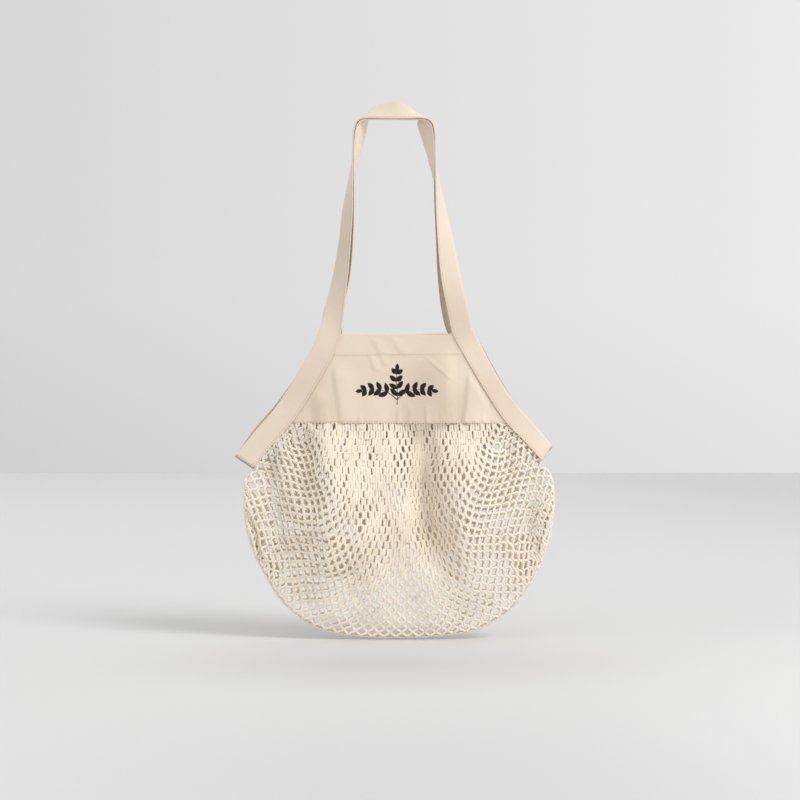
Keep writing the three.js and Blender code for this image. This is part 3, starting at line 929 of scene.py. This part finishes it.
def tape_stitches(name, tape, node):
    """The rows along a tape's inner edge and across its ends, on both of its sides."""
    k = tape.stations(TAPE_STEP)[0]
    across = np.linspace(END_ROW_FROM, TAPE_WIDTH - 1, 20)
    rows_of_beads = []
    for side in (1, -1):
        off = side * (TAPE_THICKNESS / 2 - STITCH_SINK)
        outs = side * tape.outward(k, TAPE_EDGE_SEAM)
        rows_of_beads.append(stitch_row(tape.over(k, TAPE_EDGE_SEAM, off), outs))
        for near_end in (k[1], k[-2]):
            at = np.full(len(across), near_end)
            line = tape.over(at, across, side * TAPE_THICKNESS / 2)
            rows_of_beads.append(stitch_row(line, side * tape.outward(at, across)))
    stitches(name, rows_of_beads, node)


thread = cloth_material("thread", THREAD_PALE, THREAD_DULL, 0.0004, weave_strength=0.2, takes_painted_shading=False)
yoke_stitches("yoke_front_stitches", front_skin, -1, "yoke_front")
yoke_stitches("yoke_back_stitches", back_skin, 1, "yoke_back")
tape_stitches("tape_front_stitches", front_tape, "strap_front")
tape_stitches("tape_back_stitches", back_tape, "strap_back")

# --------------------------------------------------------------------------------------------- net
# A knitted net of diamond cells. Each face hangs from a rim under the yoke and the tapes down to a seam that
# follows the pouch's outline. The lattice is first laid over a swelling surface, then it is let hang.

# Each face's index with the side of the bag that it is on, and the steps to a node's four neighbours.
FACES = ((0, -1), (1, 1))
DIAGONALS = ((1, 1), (1, -1), (-1, 1), (-1, -1))

# How the net is caught: how far in under a tape, and how far behind the tape's middle and the canvas.
NET_TUCK = 4
NET_BEHIND = 2.1
NET_SEAT = 1.3

CELLS_ACROSS = 38
ROWS = 33
LEG = 10.0
LEG_VARIES = 0.04
LAID_STRAY = 0.4
CORD = 3.2

# How far the lattice's sides run down the pouch's outline, and how its nodes spread out along them, along
# the bottom and along the rim.
SIDE_RUN = 115.0
SIDE_EASE = 1.5
SIDE_SPREAD = 0.12
RIM_INSET = 0.01

# The swell: a face's greatest depth, how deep inside the outline it is reached, and how round it rises. Near
# its rim it stands only RIM_DEPTH off, over RIM_REACH.
NET_BELLY = 33
BELLY_ROUND = 105
BELLY_CURVE = 1.3
RIM_DEPTH = 12.5
RIM_REACH = 90
SEAM_REACH = 40

# The pouch's outline: points of its closing seam, from the left round the bottom to the right.
SEAM = [
    (-181, 0, -449),
    (-190, 0, -463),
    (-191, 0, -492),
    (-184, 0, -535),
    (-168, 0, -572),
    (-141, 0, -614),
    (-100, 0, -644),
    (-50, 0, -654.5),
    (4, 0, -656.5),
    (54, 1, -654.5),
    (99, 2, -646.5),
    (139, 3, -624),
    (160, 3, -600),
    (178, 3, -566),
    (191, 3, -526),
    (196, 3, -486),
    (192, 2, -455),
    (183, 1, -443),
]

# Folds of the slack net, face by face: x0, z0, x1, z1, width, depth. A depth above zero stands in.
FOLDS = {
    -1: [
        (-161, -410, -144, -560, 9, 15),
        (-116, -388, -120, -500, 13, 14),
        (-88, -390, -80, -600, 15, -11),
        (6, -430, 14, -620, 30, 9),
        (26, -370, 50, -600, 18, 28),
        (86, -400, 84, -570, 13, -9),
        (112, -392, 124, -440, 8, 10),
        (134, -395, 126, -520, 9, 14),
        (168, -432, 172, -565, 8, 14),
    ],
    1: [
        (-120, -400, -130, -560, 16, 7),
        (-60, -400, -70, -600, 18, -5),
        (10, -400, 0, -590, 16, 8),
        (70, -400, 90, -600, 18, -5),
        (128, -400, 140, -540, 14, 7),
    ],
}


def lerp(a, b, t):
    return a + (b - a) * np.asarray(t, float)[..., None]


seam_fine = np.linspace(0, len(SEAM) - 1, 60 * (len(SEAM) - 1) + 1)
seam_line = through(SEAM, seam_fine)
seam_run = run_along(seam_line)


def seam_point(share):
    """Points of the pouch's outline, by their share of its run from the left end."""
    return through(SEAM, np.interp(np.asarray(share, float) * seam_run[-1], seam_run, seam_fine))


def away_from(line, points):
    """How far some points lie from a line's nearest point, as seen from the front."""
    nearest = np.full(points.shape[:-1], 1e9)
    for spot in line:
        nearest = np.minimum(nearest, np.hypot(points[..., 0] - spot[0], points[..., 2] - spot[2]))
    return nearest


def fold_depth(face, x, z):
    """How far the folds draw a face in at some points."""
    depth = np.zeros_like(x)
    for x0, z0, x1, z1, width, deep in FOLDS[face]:
        down = (z0 - z) / (z0 - z1)
        middle = x0 + (x1 - x0) * down
        fade = smooth(down / 0.25) * smooth((1 - down) / 0.35)
        depth += deep * fade * np.exp(-(((x - middle) / width) ** 2))
    return depth


def bound_edge(tape, face, side, part):
    """Where a face is caught under a tape. part runs from the tape's end (0) up to the yoke's corner (1).

    In its last quarter it draws back behind the yoke too.
    """
    k = tape.middle + side * (tape.middle + (YOKE_FOOT - tape.middle) * part)
    under_yoke = smooth((part - 0.75) / 0.25) * YOKE_BEHIND
    return tape.over(k, NET_TUCK, -(NET_BEHIND + under_yoke) * facing(tape, face, k))


def yoke_rim(tape, face, across):
    """Where a face is caught behind its yoke's foot, further in than the canvas's folds near each place."""
    down = 1 - NET_TUCK / YOKE_HEIGHT
    rim = yoke_surface(tape, face, np.clip(across, 0, 1), down)
    for aside in (-0.02, -0.01, 0.01, 0.02):
        near = yoke_surface(tape, face, np.clip(across + aside, 0, 1), down)
        rim[:, 1] = face * np.minimum(face * rim[:, 1], face * near[:, 1])
    rim[:, 1] -= face * (CANVAS / 2 + NET_SEAT)
    return rim


# The lattice's nodes stand where row + column is even. u and v are their shares of the way across and down.
COLUMNS = 2 * CELLS_ACROSS
column = np.arange(COLUMNS + 1)
row = np.arange(ROWS + 1)
exists = (row[:, None] + column[None, :]) % 2 == 0
border = np.zeros_like(exists)
border[0] = border[-1] = True
border[:, 0] = border[:, -1] = True
pinned = exists & border
free = exists & ~border
u = column / COLUMNS
v = row / ROWS

# How many steps each node lies from the lattice's sides and foot, and from its whole border.
from_sides = np.minimum(column, COLUMNS - column)[None, :]
from_foot = np.minimum(ROWS - row[:, None], from_sides)
from_border = np.minimum(row[:, None], from_foot)

# The bottom nodes stand a little further apart near both sides.
pitch = 1 + SIDE_SPREAD * (1 - smooth((np.minimum(u, 1 - u) - 0.08) / 0.22))
bottom_share = np.concatenate([[0], np.cumsum((pitch[1:] + pitch[:-1]) / 2)])
bottom_share /= bottom_share[-1]


def side_edge(tape, face, side):
    """The lattice's side edge: along the tape from the yoke's corner, then on down the pouch's outline."""
    band = bound_edge(tape, face, side, np.linspace(1, 0, 40))
    share = np.linspace(0, SIDE_RUN / seam_run[-1], 30)[1:]
    rest = seam_point(share if side < 0 else 1 - share)
    rest[:, 1] += face * CORD / 2
    line = np.vstack([band, rest])
    run = run_along(line)
    return at_run(line, run, run[-1] * v**SIDE_EASE)


def laid_out(tape, face):
    """The lattice spread between its rim, its two side edges and the seam."""
    rim = yoke_rim(tape, face, RIM_INSET + (1 - 2 * RIM_INSET) * u)
    share = SIDE_RUN / seam_run[-1]
    foot = seam_point(share + bottom_share * (1 - 2 * share))
    foot[:, 1] += face * CORD / 2
    left, right = side_edge(tape, face, -1), side_edge(tape, face, 1)
    across, down = u[None, :], v[:, None]
    flat = lerp(rim[None, :], foot[None, :], down) + lerp(left[:, None], right[:, None], across)
    flat -= lerp(lerp(rim[0], rim[-1], across), lerp(foot[0], foot[-1], across), down)
    flat[:, 0], flat[:, -1] = left, right
    flat[0], flat[-1] = rim, foot
    return flat


def swell_of(face, points, rim_line):
    """How far a face stands from the middle at some points, by how deep they lie inside the outline."""
    near_seam = away_from(seam_line[::12], points)
    depth = NET_BELLY * (1 - (1 - np.clip(near_seam / BELLY_ROUND, 0, 1)) ** BELLY_CURVE)
    rim_depth = RIM_DEPTH * np.clip(near_seam / SEAM_REACH, 0, 1)
    depth = rim_depth + (depth - rim_depth) * smooth(away_from(rim_line, points) / RIM_REACH)
    return depth - fold_depth(face, points[..., 0], points[..., 2]) * smooth(near_seam / SEAM_REACH)


laid = [laid_out(front_tape, -1), laid_out(back_tape, 1)]
side_lines = [np.vstack([points[::3, 0], points[::3, -1]]) for points in laid]
rim_lines = [np.vstack([points[0, ::4], sides]) for points, sides in zip(laid, side_lines)]
node_at = np.stack(laid)
for index, face in FACES:
    inner = node_at[index][free]
    inner[:, 1] = face * swell_of(face, inner, rim_lines[index])
    node_at[index][free] = inner
rng = np.random.default_rng(7)
node_at[:, free] += rng.normal(0, LAID_STRAY, node_at[:, free].shape)

# The border nodes below the tapes slide along the pouch's outline. The others above them stay pinned.
below_tapes = node_at[0, ..., 2] < seam_line[0, 2] + 3
sliding = pinned & (row > 0)[:, None] & below_tapes
falling = free[None, :, :, None].astype(float)
weight = np.where(pinned & ~sliding, 0.0, 1.0)


def leg_groups():
    """Four sets of legs in which no node appears twice: which nodes they join."""
    groups = []
    for lean in (1, -1):
        for parity in (0, 1):
            r, c = np.meshgrid(np.arange(parity, ROWS, 2), column, indexing="ij")
            there = exists[r, c] & (c + lean >= 0) & (c + lean <= COLUMNS)
            r, c = r[there], c[there]
            groups.append((r, c, r + 1, c + lean))
    return groups


legs = leg_groups()
leg_length = [LEG * (1 + rng.normal(0, LEG_VARIES, (2, len(group[0]), 1))) for group in legs]

# The nodes on the pouch's outline, in their order round it.
side_rows = row[sliding[:, 0] & (row < ROWS)]
foot_columns = column[exists[-1]]
ring_rows = np.concatenate([side_rows, np.full(len(foot_columns), ROWS), side_rows[::-1]])
ring_columns = np.concatenate([0 * side_rows, foot_columns, 0 * side_rows + COLUMNS])


def slide(evenness):
    """Brings the nodes where both faces meet back onto the pouch's outline, in their order."""
    both = node_at[:, ring_rows, ring_columns].mean(0)
    away = np.linalg.norm(both[:, None, ::2] - seam_line[None, ::2, ::2], axis=-1)
    run = seam_run[::2][away.argmin(1)]
    for repeat in range(6):
        run[1:-1] += ((run[:-2] + run[2:]) / 2 - run[1:-1]) * evenness
    on_line = seam_point(np.maximum.accumulate(run) / seam_run[-1])
    for index, face in FACES:
        node_at[index, ring_rows, ring_columns] = on_line + np.array([0, face * CORD / 2, 0])


# The pouch's middle as seen from the front, and how far inside the outline its free nodes stay.
POUCH_X = 4
POUCH_Z = -500
INSIDE_BY = 3.5


def turn_and_reach(points):
    """The direction of some points from the pouch's middle, counted on past its lowest point, and how far."""
    x, z = points[..., 0] - POUCH_X, points[..., 2] - POUCH_Z
    turn = np.arctan2(z, x)
    return np.where(turn > math.pi / 2, turn - 2 * math.pi, turn), np.hypot(x, z)


seam_turn, seam_reach = turn_and_reach(seam_line)


def keep_inside():
    """Draws back the free nodes that have crossed the pouch's outline."""
    turn, reached = turn_and_reach(node_at)
    most = np.interp(turn, seam_turn, seam_reach - INSIDE_BY)
    below = free & (turn > seam_turn[0]) & (turn < seam_turn[-1])
    draw = np.where(below, np.minimum(most / (reached + 1e-9), 1), 1)
    for axis, middle in ((0, POUCH_X), (2, POUCH_Z)):
        node_at[..., axis] = middle + (node_at[..., axis] - middle) * draw


def pull_legs(push):
    """Draws each leg to its own length. One that is too short pushes with only a share of its strength."""
    for (r0, c0, r1, c1), length in zip(legs, leg_length):
        top, foot = node_at[:, r0, c0], node_at[:, r1, c1]
        span = foot - top
        distance = np.linalg.norm(span, axis=-1, keepdims=True) + 1e-9
        top_weight, foot_weight = weight[r0, c0][None, :, None], weight[r1, c1][None, :, None]
        error = (distance - length) / distance
        error = np.where(error > 0, error, error * push)
        change = span * error / np.maximum(top_weight + foot_weight, 1e-9)
        node_at[:, r0, c0] = top + change * top_weight
        node_at[:, r1, c1] = foot - change * foot_weight


# Nodes are drawn towards the middle of their four neighbours, and more so near the sides and the foot.
evening = (1 + 6 * np.exp(-((from_foot / 5.0) ** 2)))[None, :, :, None]

# The pouch's middle: places in x, and y at each. A face stays LEAST_DEPTH off it.
POUCH_MIDDLE = ((-180, 180), (0, 3))
LEAST_DEPTH = 2.5


def keep_apart():
    """Keeps each face on its own side of the pouch's middle, which lies further back at the right."""
    middle = np.interp(node_at[..., 0], *POUCH_MIDDLE)
    for index, face in FACES:
        y = node_at[index, ..., 1]
        clear = face * np.maximum(face * y, face * middle[index] + LEAST_DEPTH)
        node_at[index, ..., 1] = np.where(free, clear, y)


def hang(steps, gravity, damping, smoothing, hold, push):
    """Lets the lattice fall and its legs pull, while each face keeps near its swell."""
    speed = np.zeros_like(node_at)
    for step in range(steps):
        before = node_at.copy()
        node_at[...] += (speed * damping + np.array([0, 0, -gravity])) * falling
        if step % 10 == 0:
            swell = [face * swell_of(face, node_at[index], rim_lines[index]) for index, face in FACES]
        node_at[..., 1] += (np.stack(swell) - node_at[..., 1]) * hold * falling[..., 0]
        for repeat in range(4):
            pull_legs(push)
        slide(0.5)
        keep_inside()
        total = np.zeros_like(node_at)
        for up, left in DIAGONALS:
            total += np.roll(np.roll(node_at, up, 1), left, 2)
        node_at[...] += (total / 4 - node_at) * smoothing * evening * falling
        keep_apart()
        speed = (node_at - before) * falling


hang(600, gravity=0.035, damping=0.97, smoothing=0.07, hold=0.06, push=0.1)

# Knots sit a little out of place, more so near the tapes: how far in x, y and z, and how much more.
NODE_STRAY = (0.24, 0.3, 0.7)
TAPE_STRAY = 1.4
TAPE_STRAY_REACH = 40

# The slack net's soft waves: axis, reach in mm, turn per mm of x and of z, start. The back face's waves
# start BACK_LAG further on.
WAVES = [
    (0, 1.5, 0.020, 0.047, 1.0),
    (0, 0.8, -0.050, 0.110, 0.0),
    (1, 1.5, 0.100, 0.030, 0.0),
    (1, 1.0, 0.050, -0.090, 2.0),
]
BACK_LAG = 2

# Where the two faces' cells lie behind one another, the net can be seen through. Where they lie a row apart,
# the back face's cords fill the holes. Rows are x, z, reach, share, rows apart. The back face's cells are
# set wider there, about the middle, by BACK_SPREAD for each mm that it stands behind.
MATCHED_PLACES = [
    (-108, -418, 34, 0.9, 1),
    (-112, -482, 40, 0.9, 1),
    (-72, -548, 34, 0.9, 1),
    (128, -452, 40, 0.9, 1),
    (14, -488, 40, 1.0, 0),
    (26, -568, 50, 1.0, 0),
    (118, -572, 36, 0.8, 0),
    (-138, -522, 20, 0.8, 0),
    (176, -474, 20, 0.9, 0),
    (0, -634, 70, 0.9, 0),
    (-70, -604, 34, 0.7, 0),
]
BACK_SPREAD = 0.00042
BACK_MIDDLE = {0: 4, 2: -361}

near_tape = np.stack([away_from(side_lines[index], node_at[index]) for index, face in FACES])
stray = 1 + TAPE_STRAY * np.exp(-((near_tape / TAPE_STRAY_REACH) ** 2))
node_at[:, free] += (rng.normal(0, NODE_STRAY, node_at.shape) * stray[..., None])[:, free]

inside = free * smooth(from_border / 3)
for axis, reach, by_x, by_z, start in WAVES:
    turn = by_x * node_at[..., 0] + by_z * node_at[..., 2] + start + BACK_LAG * np.arange(2)[:, None, None]
    node_at[..., axis] += reach * inside * np.sin(turn)

behind = node_at[1, ..., 1] - node_at[0, ..., 1]
row_below = np.zeros_like(node_at[0])
row_below[1:-1] = (node_at[0, 2:] - node_at[0, :-2]) / 2
for at_x, at_z, reach, share, rows_apart in MATCHED_PLACES:
    away = ((node_at[0, ..., 0] - at_x) ** 2 + (node_at[0, ..., 2] - at_z) ** 2) / reach**2
    share_here = share * np.exp(-(away**2)) * inside
    for axis, middle in BACK_MIDDLE.items():
        spread = node_at[0, ..., axis] + BACK_SPREAD * behind * (node_at[0, ..., axis] - middle)
        spread = spread + rows_apart * row_below[..., axis]
        node_at[1, ..., axis] += share_here * (spread - node_at[1, ..., axis])


def node_frames(index):
    """Across and down directions of a face of the net at its nodes."""
    points = node_at[index]
    padded = np.pad(points, ((1, 1), (1, 1), (0, 0)), mode="edge")
    there = np.pad(exists, 1)
    across_dir = np.zeros_like(points)
    down_dir = np.zeros_like(points)
    h, w = exists.shape
    for up, left in DIAGONALS:
        other = padded[1 + up : 1 + up + h, 1 + left : 1 + left + w]
        near = there[1 + up : 1 + up + h, 1 + left : 1 + left + w] & exists
        reach_to = unit(other - points) * near[..., None]
        across_dir += reach_to * left
        down_dir += reach_to * up
    return unit(across_dir + np.array([1e-4, 0, 0])), unit(down_dir + np.array([0, 0, -1e-4]))


# A cord lies beside its neighbour at each knot: how far aside in cords, and how long they run joined, in mm
# and at most as a share of a leg. It is thicker where a leg runs straight down, and flatter than it is wide.
NODE_SPREAD = 0.46
JOINED = 4.3
JOINED_SHARE = 0.43
LEG_BEND = 0.9
CORD_SWELL = 0.20
CORD_RIPPLE = 0.05
CORD_RIPPLE_TURN = 1.7
CORD_FLATNESS = 0.72

# A cord has SIDES points round it, and LEG_PLACES says about where its rings lie along each leg. CORD_END
# holds the faces that close its end.
SIDES = 8
LEG_PLACES = np.array([0, 0.2, 0.35, 0.5, 0.65, 0.8])
LEG_POINTS = len(LEG_PLACES)
CORD_END = np.array([[3, 2, 1, 0], [7, 4, 3, 0], [7, 6, 5, 4]])

# The two colours that the net's cotton varies between, then its painted shade and painted light as darker and
# lighter places: x, z, reach x, reach z, change.
NET_PALE = (0.93, 0.83, 0.69)
NET_DULL = (0.88, 0.765, 0.62)
PAINTED_NET_SHADING = [
    (0, -634, 170, 44, 0.07),
    (132, -455, 30, 60, 0.06),
    (-112, -402, 34, 26, -0.09),
    (112, -398, 16, 22, -0.05),
    (-155, -446, 8, 28, -0.17),
    (144, -438, 7, 32, -0.13),
    (171, -515, 8, 46, -0.13),
    (38, -450, 12, 50, -0.04),
]


def cord_line(at, heading):
    """A cord's line through its knots, where it runs by the heading, and how straight down each leg runs."""
    chord = at[1:] - at[:-1]
    reach = np.linalg.norm(chord, axis=-1)
    straight = np.clip((chord * (heading[1:] + heading[:-1])).sum(-1) / reach / 2, 0, 1)
    joined = (np.minimum(JOINED, JOINED_SHARE * reach) * straight**4)[:, None, None]
    a = at[:-1, None] + heading[:-1, None] * joined
    b = at[1:, None] - heading[1:, None] * joined
    bend = np.linalg.norm(b - a, axis=-1, keepdims=True) * LEG_BEND
    t = np.linspace(0, 1, LEG_POINTS - 1)[None, :, None]
    legs_here = hermite(t, a, b, heading[:-1, None] * bend, heading[1:, None] * bend)
    legs_here = np.concatenate([at[:-1, None], legs_here], 1)
    return np.vstack([legs_here.reshape(-1, 3), at[-1:]]), straight


def cord_rings(index, k, across_dir, down_dir):
    """The line and the rings of points of the cord that zigzags down a face between columns k and k + 1."""
    columns_here = np.where((row + k) % 2 == 0, k, k + 1)
    aside = np.where(columns_here == k, 1.0, -1.0) * NODE_SPREAD * CORD
    across_here = across_dir[row, columns_here]
    at = node_at[index, row, columns_here] + across_here * aside[:, None]
    line, straight = cord_line(at, down_dir[row, columns_here])
    t = LEG_PLACES[None, :, None]
    spread = (1 - t) * across_here[:-1, None] + t * across_here[1:, None]
    spread = np.vstack([spread.reshape(-1, 3), across_here[-1:]])
    tangent = unit(np.gradient(line, axis=0))
    out = unit(np.cross(tangent, spread) * -1)
    out = unit(out - tangent * (out * tangent).sum(-1, keepdims=True))
    lateral = unit(np.cross(out, tangent))
    place = np.arange(len(line))
    swell = CORD_SWELL * np.append(np.repeat(straight, LEG_POINTS), straight[-1]) ** 8
    swell *= smooth((place - LEG_POINTS) / (2 * LEG_POINTS))
    radius = CORD / 2 * (1 + swell + CORD_RIPPLE * np.sin(place * CORD_RIPPLE_TURN + k))
    return line, rings_round(line, lateral, out, radius, SIDES, CORD_FLATNESS)


def net_piece(name, index, first, last):
    """One piece of all the cords between two columns of a face."""
    across_dir, down_dir = node_frames(index)
    points, faces, uvs = [], [], []
    for k in range(first, last):
        line, rings = cord_rings(index, k, across_dir, down_dir)
        count = len(line)
        ends = np.vstack([CORD_END, CORD_END[:, ::-1] + (count - 1) * SIDES])
        run = run_along(line) * MM
        uvs.append(swept_uvs(run, np.arange(SIDES + 1) / SIDES))
        uvs.append(np.stack([run[ends // SIDES], ends % SIDES / SIDES], -1).reshape(-1, 2))
        own = np.vstack([grid_faces(count, SIDES, closed_columns=True), ends])
        faces.append(own + (k - first) * count * SIDES)
        points.append(rings.reshape(-1, 3))
    points = np.vstack(points)
    piece = mesh_piece(name, points, np.vstack(faces), np.vstack(uvs))
    turn_out(piece)
    piece.data.materials.append(net_cotton)
    # Painted shade and painted light on the net's cords.
    set_value(piece, "painted_shading", painted_shading_at(points, PAINTED_NET_SHADING))
    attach(piece, "root")
    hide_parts("net")


net_cotton = cloth_material("net_cotton", NET_PALE, NET_DULL, thread_width=0.0005, weave_strength=0.4)
for index, face_name in ((0, "front"), (1, "back")):
    net_piece(f"net_{face_name}_left", index, 0, COLUMNS // 2)
    net_piece(f"net_{face_name}_right", index, COLUMNS // 2, COLUMNS)

# -------------------------------------------------------------------------------------------- seam
# The pouch's closing seam is a knitted edge of net cotton that runs round the outline, down one side, along
# the bottom and up the other. A brown thread is caught along the front of its lowest stretch.

EDGE_CORD = 3.0
EDGE_POINTS = 420
EDGE_SIDES = 10
EDGE_RIPPLE = 0.12

# The thread's run as shares of the outline, its radius, and how far it lies above the outline and winds.
THREAD_FROM = 0.30
THREAD_TO = 0.72
THREAD_POINTS = 260
THREAD_SIDES = 6
THREAD_RADIUS = 0.5
THREAD_RISE = 0.9
THREAD_WIND = 0.5


def seam_piece(name, line, radius, sides, material):
    """A closed round cord along a line."""
    tangent = unit(np.gradient(line, axis=0))
    front = np.array([0.0, -1.0, 0.0])
    out = unit(front - tangent * (front * tangent).sum(-1, keepdims=True))
    rings = rings_round(line, np.cross(out, tangent), out, radius, sides)
    faces = grid_faces(len(line), sides, closed_columns=True)
    piece = mesh_piece(name, rings, faces, swept_uvs(run_along(line) * MM, np.arange(sides + 1) / sides))
    turn_out(piece, close=True)
    piece.data.materials.append(material)
    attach(piece, "root")
    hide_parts("net")
    return piece


place = np.arange(EDGE_POINTS)
edge_line = seam_point(np.linspace(0.002, 0.998, EDGE_POINTS))
edge_line[:, 1] += 0.5 * np.sin(place * 1.3)
edge_radius = EDGE_CORD / 2 * (1 + EDGE_RIPPLE * np.sin(place * 2.1))
net_edge = seam_piece("net_edge", edge_line, edge_radius, EDGE_SIDES, net_cotton)
# The edge cord carries no painted shade or light.
set_value(net_edge, "painted_shading", np.ones(len(net_edge.data.vertices)))

thread_line = seam_point(np.linspace(THREAD_FROM, THREAD_TO, THREAD_POINTS))
thread_line[:, 1] -= EDGE_CORD / 2 + 0.1
thread_line[:, 2] += THREAD_RISE + THREAD_WIND * np.sin(np.arange(THREAD_POINTS) * 1.1)
seam_piece("net_seam_thread", thread_line, THREAD_RADIUS, THREAD_SIDES, thread)
